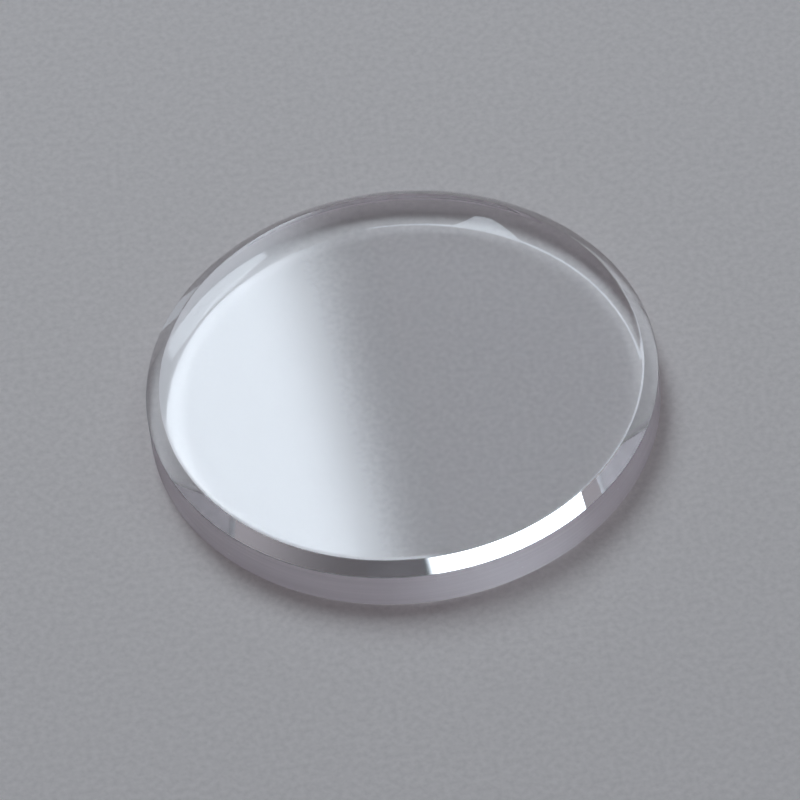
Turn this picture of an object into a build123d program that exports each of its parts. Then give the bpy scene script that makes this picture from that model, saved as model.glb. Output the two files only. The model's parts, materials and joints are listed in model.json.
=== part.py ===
from build123d import *
import os

# Flat watch crystal: one disc of clear synthetic sapphire. Its front face and the bevel round it
# are polished, its wall is finely ground for the case's gasket to grip, and its flat underside
# is polished too. Millimetres, +Z out of the watch, origin at the centre of the underside.

# The blank, across the wall and from the underside to the front face
diameter = 29.5
thickness = 3.0

# The bevel, measured inwards from the wall and down from the front face
bevel_width = 0.82
bevel_drop = 0.62

# Eased edges: round the front face, where the bevel meets the wall, and round the underside
face_edge_radius = 0.15
shoulder_radius = 0.20
seat_chamfer = 0.06

os.makedirs("parts", exist_ok=True)

with BuildPart() as crystal:
    # Blank, lapped flat on both sides
    with BuildSketch(Plane.XY):
        Circle(radius=diameter / 2)
    extrude(amount=thickness)

    # Bevel round the front face
    front_face = crystal.faces().sort_by(Axis.Z)[-1]
    chamfer(front_face.edges(), length=bevel_width, length2=bevel_drop, reference=front_face)

    # Seat chamfer round the underside
    underside = crystal.faces().sort_by(Axis.Z)[0]
    chamfer(underside.edges(), length=seat_chamfer)

    # Shoulder, where the bevel meets the ground wall
    wall = crystal.faces().filter_by(GeomType.CYLINDER)[0]
    fillet(wall.edges().filter_by(GeomType.CIRCLE).sort_by(Axis.Z)[-1], radius=shoulder_radius)

    # Polished edge round the front face
    front_face = crystal.faces().sort_by(Axis.Z)[-1]
    fillet(front_face.edges(), radius=face_edge_radius)

crystal.part.label = "crystal"
export_step(crystal.part, "parts/crystal.step")

ground_wall = crystal.faces().filter_by(GeomType.CYLINDER)[0].bounding_box()
print(f"ground wall from {ground_wall.min.Z:.4f} to {ground_wall.max.Z:.4f}")
print(f"front face {2 * crystal.faces().sort_by(Axis.Z)[-1].bounding_box().max.X:.4f} across")
print(f"volume {crystal.part.volume:.2f}")
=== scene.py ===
"""Flat watch crystal: the looks of one bevelled disc of clear sapphire.

The disc is polished on both faces and round the bevel. Its side wall is finely ground, and so is the small
shoulder between the wall and the bevel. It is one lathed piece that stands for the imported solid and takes
its main sizes from it. All lengths are in metres, +Z is out of the watch, and the origin is at the centre
of the underside.
"""

import json
import math

import bmesh
import bpy
from bpy.props import FloatProperty, FloatVectorProperty, IntProperty, PointerProperty
from bpy.types import Operator, Panel, PropertyGroup
from mathutils import Matrix, Vector


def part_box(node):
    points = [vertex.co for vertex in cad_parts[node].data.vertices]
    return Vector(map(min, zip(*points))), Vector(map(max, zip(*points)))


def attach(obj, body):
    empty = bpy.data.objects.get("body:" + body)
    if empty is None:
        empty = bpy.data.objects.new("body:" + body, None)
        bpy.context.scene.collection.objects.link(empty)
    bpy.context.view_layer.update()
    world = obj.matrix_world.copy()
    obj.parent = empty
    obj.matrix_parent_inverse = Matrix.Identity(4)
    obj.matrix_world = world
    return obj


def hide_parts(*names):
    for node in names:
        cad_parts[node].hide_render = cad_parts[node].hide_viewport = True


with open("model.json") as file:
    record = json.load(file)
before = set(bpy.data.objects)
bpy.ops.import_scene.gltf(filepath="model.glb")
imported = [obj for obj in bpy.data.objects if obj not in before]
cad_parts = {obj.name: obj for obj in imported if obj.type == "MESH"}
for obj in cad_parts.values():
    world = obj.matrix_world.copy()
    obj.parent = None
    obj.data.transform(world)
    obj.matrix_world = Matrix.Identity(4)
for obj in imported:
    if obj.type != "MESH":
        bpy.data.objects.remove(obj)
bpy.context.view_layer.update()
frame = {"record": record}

bl_info = {
    "name": "Flat watch crystal",
    "version": (1, 0, 0),
    "blender": (4, 5, 0),
    "location": "3D View > Sidebar > Watch crystal",
    "description": "A bevelled sapphire watch crystal with a ground wall, and a soft studio round it",
    "category": "Add Mesh",
}

MM = 0.001

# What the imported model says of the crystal: its height, and where its ground wall is
crystal_low, crystal_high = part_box("crystal")
wall_mount = next(mount for mount in frame["record"]["mounts"] if mount["name"] == "wall")
WALL_RADIUS = wall_mount["dims"]["r_mm"] * MM
WALL_LOW = wall_mount["pos_m"][2] - wall_mount["dims"]["length_mm"] * MM / 2

# The outward directions of the flat stretches of the outline, as angles above the horizontal
FACING_DOWN = -math.pi / 2
FACING_OUT = 0.0
FACING_UP = math.pi / 2

# Nearly all the levels of a noise texture lie between these two
NOISE_LOW = 0.3
NOISE_HIGH = 0.7

# Where a mix node has its first value, its second value and its result
MIX_PLACES = {"FLOAT": ("2", "3", 0), "RGBA": ("6", "7", 2)}

# The camera's sensor in millimetres, and the nearest and the furthest that it sees in metres
SENSOR_WIDTH = 36
NEAREST_SEEN = 0.01
FURTHEST_SEEN = 10.0

# Light is reflected many times inside the crystal before it leaves by the bevel
LIGHT_BOUNCES = 32


def length(name, description, default):
    """A property that holds a length in metres."""
    return FloatProperty(
        name=name, description=description, default=default, min=0, precision=6, unit="LENGTH"
    )


def angle(name, description, degrees):
    """A property that holds an angle, given here in degrees."""
    return FloatProperty(name=name, description=description, default=math.radians(degrees), subtype="ANGLE")


def angle_pair(name, description, first, second):
    """A property that holds two angles, given here in degrees."""
    default = (math.radians(first), math.radians(second))
    return FloatVectorProperty(
        name=name, description=description, default=default, size=2, unit="ROTATION"
    )


def share(name, description, default):
    """A property that holds a share from 0 to 1."""
    return FloatProperty(name=name, description=description, default=default, min=0, max=1, subtype="FACTOR")


def amount(name, description, default):
    """A property that holds a plain number, such as a strength."""
    return FloatProperty(name=name, description=description, default=default, min=0)


def count(name, description, default, least):
    """A property that holds a number of steps, and the least that makes sense."""
    return IntProperty(name=name, description=description, default=default, min=least)


def colour(name, description, default):
    """A property that holds a colour."""
    return FloatVectorProperty(
        name=name, description=description, default=default, size=3, min=0, max=1, subtype="COLOR"
    )


class CrystalShape(PropertyGroup):
    """Sizes of the disc."""

    radius: length("Wall radius", "From the axis to the ground wall", WALL_RADIUS)
    thickness: length("Thickness", "From the underside to the front face", crystal_high.z - crystal_low.z)
    seat_chamfer: length("Seat chamfer", "Chamfer round the underside, up to the ground wall", WALL_LOW)
    bevel_width: length("Bevel width", "Bevel, measured inwards from the wall", 0.82 * MM)
    bevel_drop: length("Bevel drop", "Bevel, measured down from the front face", 0.62 * MM)
    bevel_crown: angle("Bevel crown", "How far polishing turns the bevel at each of its edges", 1.5)
    shoulder_radius: length("Shoulder radius", "Rounding where the bevel meets the wall", 0.06 * MM)
    face_edge_radius: length("Face edge radius", "Rounding where the bevel meets the front face", 0.15 * MM)
    roll_off: angle("Roll-off", "How far polishing turns the rim of the front face down", 7.0)
    roll_off_radius: length("Roll-off radius", "How slowly the rim of the front face turns down", 1.5 * MM)
    turn_steps: count("Steps round", "Facets round the axis", 720, 64)
    corner_steps: count("Steps over an edge", "Facets over a rounded edge", 10, 2)
    bevel_steps: count("Steps over the bevel", "Facets over the bevel", 12, 1)


class CrystalFinish(PropertyGroup):
    """Finish of the sapphire."""

    refractive_index: amount("Refractive index", "How strongly the sapphire bends light", 1.77)
    clear_tint: colour("Clear tint", "Colour of the polished sapphire", (0.985, 0.99, 1.0))
    polish_haze: share("Polish haze", "Most roughness that polishing leaves", 0.010)
    haze_patch: length("Haze patch", "Size of one patch of haze", 2.0 * MM)
    haze_start: share("Haze start", "Noise level at which the haze begins", 0.35)
    haze_full: share("Haze full", "Noise level at which the haze is full", 0.75)
    ground_tint: colour("Ground tint", "Colour of the ground wall", (0.885, 0.825, 0.855))
    ground_roughness: share("Ground roughness", "Roughness of the ground wall", 0.78)
    ground_spread: share("Ground spread", "How far the marks change that roughness", 0.04)
    ground_clarity: share("Ground clarity", "Share of the light that the ground wall lets through", 0.85)
    grind_depth: length("Grind depth", "Depth of the marks round the ground wall", 0.003 * MM)
    grind_pitch: length("Grind pitch", "Height of one mark round the ground wall", 0.16 * MM)
    grind_run: length("Grind run", "Length of one mark round the ground wall", 9.0 * MM)
    darkest_mark: amount("Darkest mark", "Its tone, as a share of the ground tint", 0.87)
    lightest_mark: amount("Lightest mark", "Its tone, as a share of the ground tint", 1.04)
    grit_size: length("Grit size", "Size of the fine grain between the marks", MM / 18)
    grit_share: share("Grit share", "Depth of the fine grain, as a share of the marks' depth", 0.6)
    # The pits are real grind pits, but their brightness is a painted glint: they are painted white
    pit_spacing: length("Pit spacing", "From one bright pit in the ground wall to the next", 0.9 * MM)
    pit_radius: length("Pit radius", "From a bright pit's middle to its faded rim", 0.08 * MM)
    pit_core: share("Pit core", "Share of a pit's radius that is fully bright", 0.5)
    pit_roughness: share("Pit roughness", "Roughness in a bright pit", 0.35)
    # Painted shade: the shoulder is tinted far darker than the ground wall, so that it passes little light
    # instead of showing bright streaks
    shoulder_painted_shade: colour("Shoulder tint", "Colour of the shoulder above the wall", (0.40, 0.385, 0.395))
    shoulder_roughness: share("Shoulder roughness", "Roughness of the shoulder above the wall", 0.78)
    shoulder_spread: share("Shoulder spread", "How far that roughness varies to each side", 0.06)
    shoulder_patch: length("Shoulder patch", "Size of one patch of roughness on the shoulder", MM / 1.5)


class StudioSetup(PropertyGroup):
    """Floor, lights and camera.

    The turns of a light panel's two sides are counted round +Z from +X. A panel that fades does so from its
    first side.
    """

    floor_side: length("Floor side", "Side of the square floor", 2.4)
    floor_gap: length("Floor gap", "From the crystal's underside down to the floor", 0.02 * MM)
    floor_colour: colour("Floor colour", "Colour of the plain floor", (0.95, 0.91, 0.88))
    floor_roughness: share("Floor roughness", "Roughness of the plain floor", 0.7)
    grain_size: length("Floor grain", "Size of the floor's fine grain", 0.35 * MM)
    grain_depth: length("Floor grain depth", "Depth of the floor's fine grain", 0.05 * MM)
    grain_relief: share("Floor grain relief", "How strongly the light shows that depth", 0.4)
    grain_contrast: share("Floor grain contrast", "How much lighter or darker a grain is", 0.06)
    room_colour: colour("Room colour", "Dim light from all round", (0.120, 0.117, 0.130))
    panel_distance: length("Panel distance", "From the crystal to every light panel", 0.6)
    panel_columns: count("Panel columns", "Facets from side to side of a light panel", 24, 2)
    panel_rows: count("Panel rows", "Facets from foot to head of a light panel", 16, 1)
    window_colour: colour("Window colour", "Light of both windows", (0.82, 0.91, 1.0))
    window_strength: amount("Soft window strength", "Large soft panel behind on the left", 3.7)
    window_fade: angle("Soft window fade", "Turn over which its right side fades in", 2.94)
    window_rises: angle_pair("Soft window rises", "Its foot and its head above the floor", 34, 74.5)
    window_foot: angle_pair("Soft window foot", "Its right and left side at the foot", 92.9, 115.9)
    window_head: angle_pair("Soft window head", "Its right and left side at the head", 84.7, 135.9)
    side_strength: amount("Side window strength", "Narrow panel high up on the right", 3.0)
    side_rises: angle_pair("Side window rises", "Its foot and its head above the floor", 42, 71)
    side_foot: angle_pair("Side window foot", "Its right and left side at the foot", 24, 33)
    side_head: angle_pair("Side window head", "Its right and left side at the head", 34, 46.5)
    fill_colour: colour("Fill colour", "Light of the dim panels", (0.97, 0.92, 1.0))
    fill_strength: amount("Fill strength", "Dim panels beside the soft window", 0.345)
    fill_fade: angle("Fill fade", "Turn over which they fade into the room", 30.0)
    right_fill_rises: angle_pair("Right fill rises", "Its foot and its head above the floor", 44, 57)
    right_fill_turns: angle_pair("Right fill turns", "Its left and right side", 80, 48)
    left_fill_foot: angle_pair("Left fill foot", "Its left and right side at the foot", 146, 116)
    left_fill_head: angle_pair("Left fill head", "Its left and right side at the head", 166, 136)
    camera_rise: angle("Camera rise", "Angle of the camera above the floor", 48.8)
    camera_roll: angle("Camera roll", "Turn of the camera about its own axis", -6.8)
    camera_distance: length("Camera distance", "From the camera to the crystal", 0.4322)
    camera_lens: amount("Camera lens", "Focal length in millimetres, for a 36 mm sensor", 337.5)
    camera_pan: angle("Camera pan", "Turn of the camera away from the crystal, to the side", 0.0313)
    camera_tilt: angle("Camera tilt", "Turn of the camera away from the crystal, upwards", 0.0581)


def between(start, end, along):
    """The value at a share of the way from the start to the end."""
    return start + (end - start) * along


def rounded_corner(corner, radius, start, end, steps):
    """Points over a rounded corner, from one outward direction to another, each with its own."""
    middle = (start + end) / 2
    reach = radius / math.cos((end - start) / 2)
    centre_x = corner[0] - reach * math.cos(middle)
    centre_z = corner[1] - reach * math.sin(middle)
    points = []
    for step in range(steps + 1):
        facing = between(start, end, step / steps)
        points.append((centre_x + radius * math.cos(facing), centre_z + radius * math.sin(facing), facing))
    return points


def flat_run(start, end, facing):
    """A straight stretch of the outline, with its outward direction at both ends."""
    return [(start[0], start[1], facing), (end[0], end[1], facing)]


def crowned_run(start, end, facing, crown, steps):
    """A nearly straight stretch, bowed outwards so that its direction turns by the crown to each side."""
    proud = math.hypot(end[0] - start[0], end[1] - start[1]) * math.tan(crown / 2) / 2
    points = []
    for step in range(steps + 1):
        along = step / steps
        bow = 4 * proud * along * (1 - along)
        across = between(start[0], end[0], along) + bow * math.cos(facing)
        height = between(start[1], end[1], along) + bow * math.sin(facing)
        points.append((across, height, between(facing - crown, facing + crown, along)))
    return points


def rolled_run(place, radius, start, end, steps):
    """An arc of the outline that goes on from a place, from one direction to the next."""
    points = []
    for step in range(steps + 1):
        facing = between(start, end, step / steps)
        across = place[0] + radius * (math.cos(facing) - math.cos(start))
        height = place[1] + radius * (math.sin(facing) - math.sin(start))
        points.append((across, height, facing))
    return points


def crystal_outline(shape):
    """Stretches of the outline from the underside's centre to the front face's, each with its finish."""
    radius, top = shape.radius, shape.thickness
    bevel_facing = math.atan2(shape.bevel_width, shape.bevel_drop)
    seat_inner = (radius - shape.seat_chamfer, 0.0)
    seat_outer = (radius, shape.seat_chamfer)
    wall_top = (radius, top - shape.bevel_drop)
    crown, steps = shape.bevel_crown, shape.corner_steps
    shoulder = rounded_corner(wall_top, shape.shoulder_radius, FACING_OUT, bevel_facing - crown, steps)

    # The rolled-off rim meets the bevel a little below the front face, and so a little further out
    rim_facing = FACING_UP - shape.roll_off
    edge_reach = shape.face_edge_radius * math.tan((rim_facing - bevel_facing - crown) / 2)
    sunk = shape.roll_off_radius * (1 - math.cos(shape.roll_off)) + edge_reach * math.sin(shape.roll_off)
    corner_radius = radius - shape.bevel_width + sunk * shape.bevel_width / shape.bevel_drop
    edge_corner = (corner_radius, top - sunk)
    face_edge = rounded_corner(edge_corner, shape.face_edge_radius, bevel_facing + crown, rim_facing, steps)
    face_roll = rolled_run(face_edge[-1], shape.roll_off_radius, rim_facing, FACING_UP, steps)
    bevel = crowned_run(shoulder[-1], face_edge[0], bevel_facing, crown, shape.bevel_steps)
    return [
        ("polished", flat_run((0.0, 0.0), seat_inner, FACING_DOWN)),
        ("ground", flat_run(seat_inner, seat_outer, (FACING_DOWN + FACING_OUT) / 2)),
        ("ground", flat_run(seat_outer, shoulder[0], FACING_OUT)),
        ("shoulder", shoulder),
        ("polished", bevel),
        ("polished", face_edge),
        ("polished", face_roll),
        ("polished", flat_run(face_roll[-1], (0.0, top), FACING_UP)),
    ]


def lathe(name, outline, steps, finishes):
    """A piece turned about the axis, with its exact surface directions and a finish for each stretch."""
    turned = bmesh.new()
    turns = [2 * math.pi * step / steps for step in range(steps)]
    rings = {}
    facings = []

    def ring(point):
        """The vertices round the axis at one point of the outline, made once."""
        key = (round(point[0] / MM, 6), round(point[1] / MM, 6))
        if key not in rings:
            if point[0] == 0:
                rings[key] = [turned.verts.new((0, 0, point[1]))] * steps
            else:
                rings[key] = [
                    turned.verts.new((point[0] * math.cos(turn), point[0] * math.sin(turn), point[1]))
                    for turn in turns
                ]
        return rings[key]

    for finish, points in outline:
        for low, high in zip(points, points[1:]):
            low_ring, high_ring = ring(low), ring(high)
            for step in range(steps):
                after = (step + 1) % steps
                corners = [
                    (low_ring[step], step, low[2]),
                    (low_ring[after], after, low[2]),
                    (high_ring[after], after, high[2]),
                    (high_ring[step], step, high[2]),
                ]
                if low_ring[step] is low_ring[after]:
                    del corners[1]
                elif high_ring[step] is high_ring[after]:
                    del corners[3]
                face = turned.faces.new([corner[0] for corner in corners])
                face.smooth = True
                face.material_index = finishes.index(finish)
                facings += [(turns[corner[1]], corner[2]) for corner in corners]
    mesh = bpy.data.meshes.new(name)
    turned.to_mesh(mesh)
    turned.free()
    mesh.normals_split_custom_set(
        [
            (math.cos(facing) * math.cos(turn), math.cos(facing) * math.sin(turn), math.sin(facing))
            for turn, facing in facings
        ]
    )
    piece = bpy.data.objects.new(name, mesh)
    bpy.context.scene.collection.objects.link(piece)
    return piece


class NodeBench:
    """Adds nodes to one material or world and joins them, so that each shader reads as a short list."""

    def __init__(self, owner):
        owner.use_nodes = True
        self.tree = owner.node_tree

    def add(self, kind, settings=None, **inputs):
        """A node of one kind, with its settings, and its inputs by name."""
        node = self.tree.nodes.new(kind)
        for name, value in (settings or {}).items():
            setattr(node, name, value)
        for name, value in inputs.items():
            self.feed(node, name.replace("_", " "), value)
        return node

    def feed(self, node, name, value):
        """Gives one input, by name or number, its plain value, or joins it to another node's output."""
        socket = node.inputs[int(name)] if name.isdigit() else node.inputs[name]
        if isinstance(value, bpy.types.NodeSocket):
            self.tree.links.new(value, socket)
        else:
            socket.default_value = value

    def place(self):
        """The place on the piece, in its own metres."""
        return self.add("ShaderNodeTexCoord").outputs["Object"]

    def noise(self, place, scale, detail=3.0, **inputs):
        """The level of a noise texture at a place."""
        node = self.add("ShaderNodeTexNoise", Vector=place, Scale=scale, Detail=detail, **inputs)
        return node.outputs["Fac"]

    def vary(self, level, low, high, start=0.0, end=1.0, interpolation="LINEAR"):
        """A value that goes from low to high while a level goes from the start to the end."""
        node = self.add("ShaderNodeMapRange", {"interpolation_type": interpolation}, Value=level)
        for name, value in (("From Min", start), ("From Max", end), ("To Min", low), ("To Max", high)):
            self.feed(node, name, value)
        return node.outputs["Result"]

    def mix(self, kind, part, first, second, blend="MIX"):
        """Two numbers (FLOAT) or two colours (RGBA) put together, with a part of the second."""
        node = self.add("ShaderNodeMix", {"data_type": kind, "blend_type": blend})
        first_place, second_place, result_place = MIX_PLACES[kind]
        for name, value in (("0", part), (first_place, first), (second_place, second)):
            self.feed(node, name, value)
        return node.outputs[result_place]

    def relief(self, height, depth, strength=1.0):
        """The surface direction over a relief of some depth."""
        node = self.add("ShaderNodeBump", Height=height, Strength=strength, Distance=depth)
        return node.outputs["Normal"]


def sapphire(name, finish, tint):
    """A clear sapphire material with its own shader ready, and the bench to add its marks."""
    material = bpy.data.materials.new(name)
    bench = NodeBench(material)
    shader = bench.tree.nodes["Principled BSDF"]
    bench.feed(shader, "Base Color", (*tint, 1))
    bench.feed(shader, "Transmission Weight", 1.0)
    bench.feed(shader, "IOR", finish.refractive_index)
    return material, bench, shader


def polished_sapphire(finish):
    """Polished faces and bevel: clear, with the faint uneven haze that polishing leaves."""
    material, bench, shader = sapphire("polished_sapphire", finish, finish.clear_tint)
    haze = bench.noise(bench.place(), 1 / finish.haze_patch)
    rough = bench.vary(haze, 0.0, finish.polish_haze, finish.haze_start, finish.haze_full)
    bench.feed(shader, "Roughness", rough)
    return material


def shoulder_sapphire(finish):
    """Shoulder between the wall and the bevel: ground like the wall, and tinted dark as painted shade, so
    that it lets no bright streaks of light through.
    """
    # The dark tint of the shoulder is painted shade
    material, bench, shader = sapphire("shoulder_sapphire", finish, finish.shoulder_painted_shade)
    uneven = bench.noise(bench.place(), 1 / finish.shoulder_patch)
    roughness, spread = finish.shoulder_roughness, finish.shoulder_spread
    bench.feed(shader, "Roughness", bench.vary(uneven, roughness - spread, roughness + spread))
    return material


def ground_sapphire(finish):
    """Ground side wall: an even grey frost, with fine marks round it and a few grind pits painted white as
    painted glints.
    """
    material, bench, shader = sapphire("ground_sapphire", finish, finish.ground_tint)
    bench.feed(shader, "Transmission Weight", finish.ground_clarity)
    place = bench.place()

    # Long low marks that run round the wall, with a fine grain between them
    stretch = bench.add("ShaderNodeMapping", Vector=place)
    bench.feed(stretch, "Scale", (1 / finish.grind_run, 1 / finish.grind_run, 1 / finish.grind_pitch))
    marks = bench.noise(stretch.outputs["Vector"], 1.0, detail=4.0, Roughness=0.6)
    grit = bench.noise(place, 1 / finish.grit_size, detail=2.0)
    uneven = bench.add("ShaderNodeMath", {"operation": "MULTIPLY_ADD"})
    for number, value in (("0", grit), ("1", finish.grit_share), ("2", marks)):
        bench.feed(uneven, number, value)
    bench.feed(shader, "Normal", bench.relief(uneven.outputs["Value"], finish.grind_depth))

    # Grind pits, painted white as painted glints, whose distances are counted in spacings
    pits = bench.add("ShaderNodeTexVoronoi", Vector=place, Scale=1 / finish.pit_spacing)
    pit_radius = finish.pit_radius / finish.pit_spacing
    pit_glint = bench.vary(pits.outputs["Distance"], 1.0, 0.0, finish.pit_core * pit_radius, pit_radius)

    tone = bench.vary(marks, finish.darkest_mark, finish.lightest_mark, NOISE_LOW, NOISE_HIGH)
    marked_tint = bench.mix("RGBA", 1.0, (*finish.ground_tint, 1), tone, "MULTIPLY")
    # Painted glints: inside a pit the tint is painted white
    bench.feed(shader, "Base Color", bench.mix("RGBA", pit_glint, marked_tint, (1, 1, 1, 1)))
    roughness, spread = finish.ground_roughness, finish.ground_spread
    rough = bench.vary(marks, roughness - spread, roughness + spread)
    bench.feed(shader, "Roughness", bench.mix("FLOAT", pit_glint, rough, finish.pit_roughness))
    return material


def pale_board(studio):
    """Plain pale matt floor with a fine grain."""
    material = bpy.data.materials.new("pale_board")
    bench = NodeBench(material)
    shader = bench.tree.nodes["Principled BSDF"]
    grain = bench.noise(bench.place(), 1 / studio.grain_size)
    contrast = studio.grain_contrast
    tone = bench.vary(grain, 1 - contrast, 1 + contrast, NOISE_LOW, NOISE_HIGH)
    bench.feed(shader, "Base Color", bench.mix("RGBA", 1.0, (*studio.floor_colour, 1), tone, "MULTIPLY"))
    bench.feed(shader, "Roughness", studio.floor_roughness)
    bench.feed(shader, "Normal", bench.relief(grain, studio.grain_depth, studio.grain_relief))
    return material


def panel_light(name, studio, glow_colour, strength):
    """Light of one panel. Where the panel fades, it comes down to the room's own light."""
    material = bpy.data.materials.new(name)
    bench = NodeBench(material)
    bench.tree.nodes.clear()
    glow = bench.add("ShaderNodeAttribute", {"attribute_name": "glow"})
    room = sum(studio.room_colour) / len(studio.room_colour)
    eased = bench.vary(glow.outputs["Fac"], room, strength, interpolation="SMOOTHERSTEP")
    light = bench.add("ShaderNodeEmission", Color=(*glow_colour, 1), Strength=eased)
    bench.add("ShaderNodeOutputMaterial", Surface=light.outputs["Emission"])
    return material


def light_panel(name, studio, rises, foot, head, glow_colour, strength, fade=0.0):
    """A curved, glowing panel round the crystal, between two rises and two leaning sides.

    Its sides' turns are given at its foot and at its head. It may fade in over a turn from its first side.
    """
    sheet = bmesh.new()
    glow_layer = sheet.verts.layers.float.new("glow")
    columns, rows = studio.panel_columns, studio.panel_rows
    grid = []
    for column in range(columns + 1):
        line = []
        for row in range(rows + 1):
            up = row / rows
            first = between(foot[0], head[0], up)
            second = between(foot[1], head[1], up)
            inner = first + math.copysign(fade, second - first)
            turn = first if column == 0 else between(inner, second, (column - 1) / (columns - 1))
            rise = between(rises[0], rises[1], up)
            along = (math.cos(turn) * math.cos(rise), math.sin(turn) * math.cos(rise), math.sin(rise))
            corner = sheet.verts.new(studio.panel_distance * Vector(along))
            corner[glow_layer] = 0.0 if column == 0 and fade else 1.0
            line.append(corner)
        grid.append(line)
    for left, right in zip(grid, grid[1:]):
        for row in range(rows):
            sheet.faces.new((left[row], right[row], right[row + 1], left[row + 1]))
    mesh = bpy.data.meshes.new(name)
    sheet.to_mesh(mesh)
    sheet.free()
    mesh.materials.append(panel_light(name, studio, glow_colour, strength))
    lit = bpy.data.objects.new(name, mesh)
    bpy.context.scene.collection.objects.link(lit)


class WATCHCRYSTAL_OT_crystal(Operator):
    """Make the sapphire disc, with its polished faces and bevel and its ground wall"""

    bl_idname = "watchcrystal.crystal"
    bl_label = "Make the crystal"

    def execute(self, context):
        shape, finish = context.scene.crystal_shape, context.scene.crystal_finish
        materials = {
            "polished": polished_sapphire(finish),
            "shoulder": shoulder_sapphire(finish),
            "ground": ground_sapphire(finish),
        }
        crystal = lathe("sapphire_crystal", crystal_outline(shape), shape.turn_steps, list(materials))
        for material in materials.values():
            crystal.data.materials.append(material)
        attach(crystal, "root")
        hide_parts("crystal")
        return {"FINISHED"}


class WATCHCRYSTAL_OT_studio(Operator):
    """Make the plain pale floor, the soft panels, the dim room and the camera"""

    bl_idname = "watchcrystal.studio"
    bl_label = "Make the studio"

    def execute(self, context):
        studio = context.scene.studio_setup
        self.make_floor(studio)
        self.make_lights(studio)
        self.make_camera(context.scene, studio)
        return {"FINISHED"}

    def make_floor(self, studio):
        """The floor lies just under the crystal's underside."""
        mesh = bpy.data.meshes.new("floor")
        half = studio.floor_side / 2
        below = crystal_low.z - studio.floor_gap
        corners = [(-half, -half, below), (half, -half, below), (half, half, below), (-half, half, below)]
        mesh.from_pydata(corners, [], [(0, 1, 2, 3)])
        mesh.materials.append(pale_board(studio))
        floor = bpy.data.objects.new("floor", mesh)
        bpy.context.scene.collection.objects.link(floor)

    def make_lights(self, studio):
        """A large window behind on the left, a narrow one on the right, two dim fills and a dim room."""
        rises, foot, head = studio.window_rises, studio.window_foot, studio.window_head
        daylight, window = studio.window_colour, studio.window_strength
        light_panel("soft_window", studio, rises, foot, head, daylight, window, studio.window_fade)
        side_rises, side_foot, side_head = studio.side_rises, studio.side_foot, studio.side_head
        light_panel("side_window", studio, side_rises, side_foot, side_head, daylight, studio.side_strength)
        dim, fill, fade = studio.fill_colour, studio.fill_strength, studio.fill_fade
        right_rises, right = studio.right_fill_rises, studio.right_fill_turns
        light_panel("right_fill", studio, right_rises, right, right, dim, fill, fade)
        left_foot, left_head = studio.left_fill_foot, studio.left_fill_head
        light_panel("left_fill", studio, rises, left_foot, left_head, dim, fill, fade)
        world = bpy.data.worlds.new("dim_room")
        bpy.context.scene.world = world
        bench = NodeBench(world)
        bench.feed(bench.tree.nodes["Background"], "Color", (*studio.room_colour, 1))

    def make_camera(self, scene, studio):
        """The camera looks at the crystal from in front and above, panned and tilted a little to frame it."""
        lens = bpy.data.cameras.new("camera")
        lens.sensor_width = SENSOR_WIDTH
        lens.lens = studio.camera_lens
        lens.clip_start = NEAREST_SEEN
        lens.clip_end = FURTHEST_SEEN
        camera = bpy.data.objects.new("camera", lens)
        scene.collection.objects.link(camera)
        rise = studio.camera_rise
        camera.location = studio.camera_distance * Vector((0, -math.cos(rise), math.sin(rise)))
        aim = Matrix.Rotation(math.pi / 2 - rise, 4, "X")
        pan = Matrix.Rotation(studio.camera_pan, 4, "Y")
        tilt = Matrix.Rotation(studio.camera_tilt, 4, "X")
        roll = Matrix.Rotation(studio.camera_roll, 4, "Z")
        camera.matrix_world = Matrix.Translation(camera.location) @ aim @ pan @ tilt @ roll
        scene.camera = camera
        scene.view_settings.view_transform = "Standard"
        scene.cycles.max_bounces = LIGHT_BOUNCES
        scene.cycles.transmission_bounces = LIGHT_BOUNCES
        scene.cycles.glossy_bounces = LIGHT_BOUNCES
        scene.cycles.blur_glossy = 0


class WATCHCRYSTAL_PT_panel(Panel):
    """Lists the sizes, the finish, the studio and the buttons that make them"""

    bl_label = "Watch crystal"
    bl_space_type = "VIEW_3D"
    bl_region_type = "UI"
    bl_category = "Watch crystal"

    def draw(self, context):
        for name, operator in (
            ("crystal_shape", None),
            ("crystal_finish", "watchcrystal.crystal"),
            ("studio_setup", "watchcrystal.studio"),
        ):
            group = getattr(context.scene, name)
            box = self.layout.box()
            for key in group.bl_rna.properties.keys():
                if key not in ("name", "rna_type"):
                    box.prop(group, key)
            if operator:
                box.operator(operator)


CLASSES = (
    CrystalShape,
    CrystalFinish,
    StudioSetup,
    WATCHCRYSTAL_OT_crystal,
    WATCHCRYSTAL_OT_studio,
    WATCHCRYSTAL_PT_panel,
)


def register():
    for cls in CLASSES:
        bpy.utils.register_class(cls)
    bpy.types.Scene.crystal_shape = PointerProperty(type=CrystalShape)
    bpy.types.Scene.crystal_finish = PointerProperty(type=CrystalFinish)
    bpy.types.Scene.studio_setup = PointerProperty(type=StudioSetup)


def unregister():
    del bpy.types.Scene.studio_setup
    del bpy.types.Scene.crystal_finish
    del bpy.types.Scene.crystal_shape
    for cls in reversed(CLASSES):
        bpy.utils.unregister_class(cls)


def main():
    """Makes the crystal and the studio."""
    register()
    bpy.ops.watchcrystal.crystal()
    bpy.ops.watchcrystal.studio()


if __name__ == "__main__":
    main()
